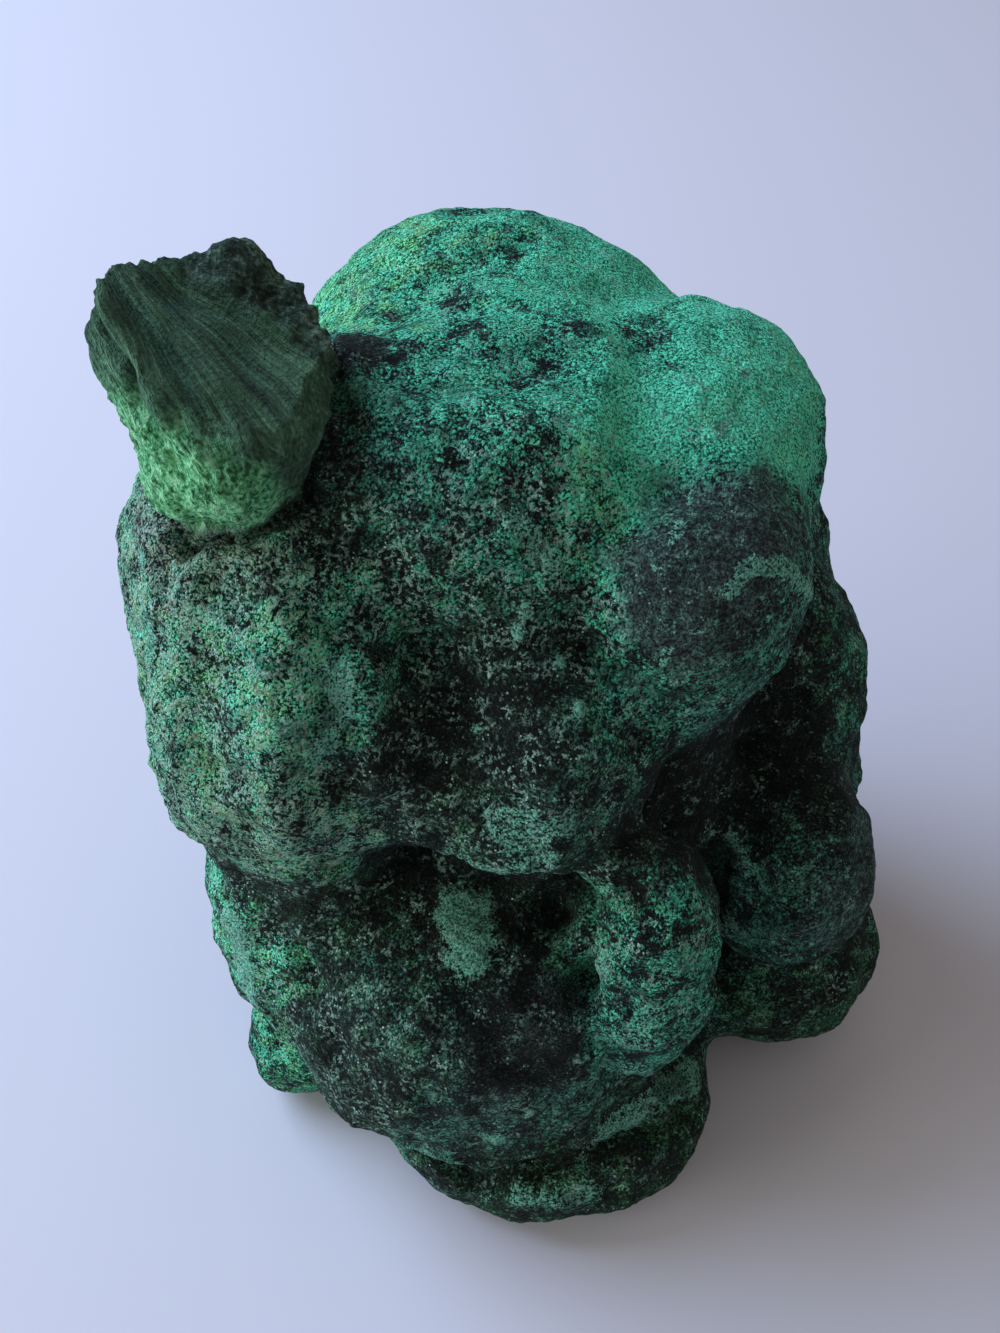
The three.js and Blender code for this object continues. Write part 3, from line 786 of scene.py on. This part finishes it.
def malachite():
    """The one material of the stone."""
    material = bpy.data.materials.new("velvet_malachite")
    nodes = Nodes(material)
    coordinates = nodes.add("TexCoord").outputs["Object"]
    vector = nodes.add("VectorMath", {0: coordinates, 1: (1 / MM,) * 3}, operation="MULTIPLY").outputs[0]
    velvet, velvet_height = velvet_colour(nodes, vector)
    stub, stub_height = stub_colour(nodes, vector)
    share = nodes.attribute("stub")
    colour = nodes.mix(share, velvet, stub)
    height = nodes.sum(nodes.product(velvet_height, nodes.math("SUBTRACT", 1.0, share)),
                       nodes.product(stub_height, share))
    bump = nodes.add("Bump", {"Strength": BUMP_STRENGTH, "Distance": BUMP_DEPTH, "Height": height})
    shader = nodes.add("BsdfPrincipled", {
        "Base Color": colour, "Roughness": nodes.ramp(height, 0.8, 1.6, 0.85, 0.6),
        "Specular IOR Level": 0.15,
        "Sheen Weight": 0.05, "Sheen Roughness": 0.4, "Sheen Tint": (0.6, 0.9, 0.8, 1),
        "Normal": bump.outputs["Normal"]})
    nodes.add("OutputMaterial", {"Surface": shader.outputs[0]})
    return material


# ---------------------------------------------------------------- stage
SHEET_COLOUR = (0.71, 0.735, 0.80, 1)
SHEET_REACH = 12 * SIZE[2]


def sheet():
    """The pale sheet that the stone stands on."""
    material = bpy.data.materials.new("pale_sheet")
    nodes = Nodes(material)
    shader = nodes.add("BsdfPrincipled", {"Base Color": SHEET_COLOUR, "Roughness": 0.9,
                                          "Specular IOR Level": 0.1})
    nodes.add("OutputMaterial", {"Surface": shader.outputs[0]})
    mesh = bpy.data.meshes.new("sheet")
    signs = [(-1, -1), (1, -1), (1, 1), (-1, 1)]
    corners = [(x * SHEET_REACH, y * SHEET_REACH, LOW[2]) for x, y in signs]
    mesh.from_pydata(corners, [], [(0, 1, 2, 3)])
    mesh.materials.append(material)
    floor = bpy.data.objects.new("sheet", mesh)
    bpy.context.scene.collection.objects.link(floor)


def aimed(thing, start, target):
    """Places a light or a camera, and turns it to look at its target."""
    thing.location = Vector(start)
    thing.rotation_euler = (Vector(target) - Vector(start)).to_track_quat("-Z", "Y").to_euler()
    bpy.context.scene.collection.objects.link(thing)
    return thing


# By name: azimuth and elevation in degrees, distance and width in metres, power in watts, and colour.
# An azimuth of 0 is behind the stone, 90 to its right and -90 to its left.
SOFTBOXES = {
    "window": (-66, 40, 0.6, 0.5, 4.3, (0.58, 0.70, 1.0)),
    "left fill": (-112, 8, 0.5, 0.25, 1.0, (1.0, 1.0, 0.95)),
}
ROOM_COLOUR = (1.0, 0.88, 0.85, 1)
ROOM_STRENGTH = 0.30


def softbox(name, azimuth, elevation, distance, width, power, colour):
    """A round area light that looks at the middle of the stone."""
    light = bpy.data.lights.new(name, "AREA")
    light.shape = "DISK"
    light.size = width
    light.energy = power
    light.color = colour
    a, e = math.radians(azimuth), math.radians(elevation)
    middle = place(0.5, 0.5, 0.5)
    start = middle + distance * np.array([math.cos(e) * math.sin(a), math.cos(e) * math.cos(a), math.sin(e)])
    aimed(bpy.data.objects.new(name, light), start, middle)


def lights():
    """The softboxes and the even light of the room."""
    for name, values in SOFTBOXES.items():
        softbox(name, *values)
    world = bpy.data.worlds.new("room")
    world.use_nodes = True
    background = world.node_tree.nodes["Background"]
    background.inputs["Color"].default_value = ROOM_COLOUR
    background.inputs["Strength"].default_value = ROOM_STRENGTH
    bpy.context.scene.world = world


CAMERA_PITCH = math.radians(48)
CAMERA_DISTANCE = 132 * MM
CAMERA_AIM = place(0.443, 0.480, 0.545)
SENSOR = 36.0
LENS = 40.5
CAMERA_NEAR = 5 * MM


def camera():
    """The camera, in front of the stone and above it."""
    data = bpy.data.cameras.new("camera")
    data.sensor_width = SENSOR
    data.lens = LENS
    data.clip_start = CAMERA_NEAR
    back = np.array([0, -math.cos(CAMERA_PITCH), math.sin(CAMERA_PITCH)])
    bpy.context.scene.camera = aimed(
        bpy.data.objects.new("camera", data), CAMERA_AIM + CAMERA_DISTANCE * back, CAMERA_AIM)


# ---------------------------------------------------------------- putting it together
camera()
stone = stone_piece()
stone.data.materials.clear()
stone.data.materials.append(malachite())
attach(stone, "root")
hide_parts(NODE)
sheet()
lights()
bpy.context.scene.view_settings.view_transform = "Standard"
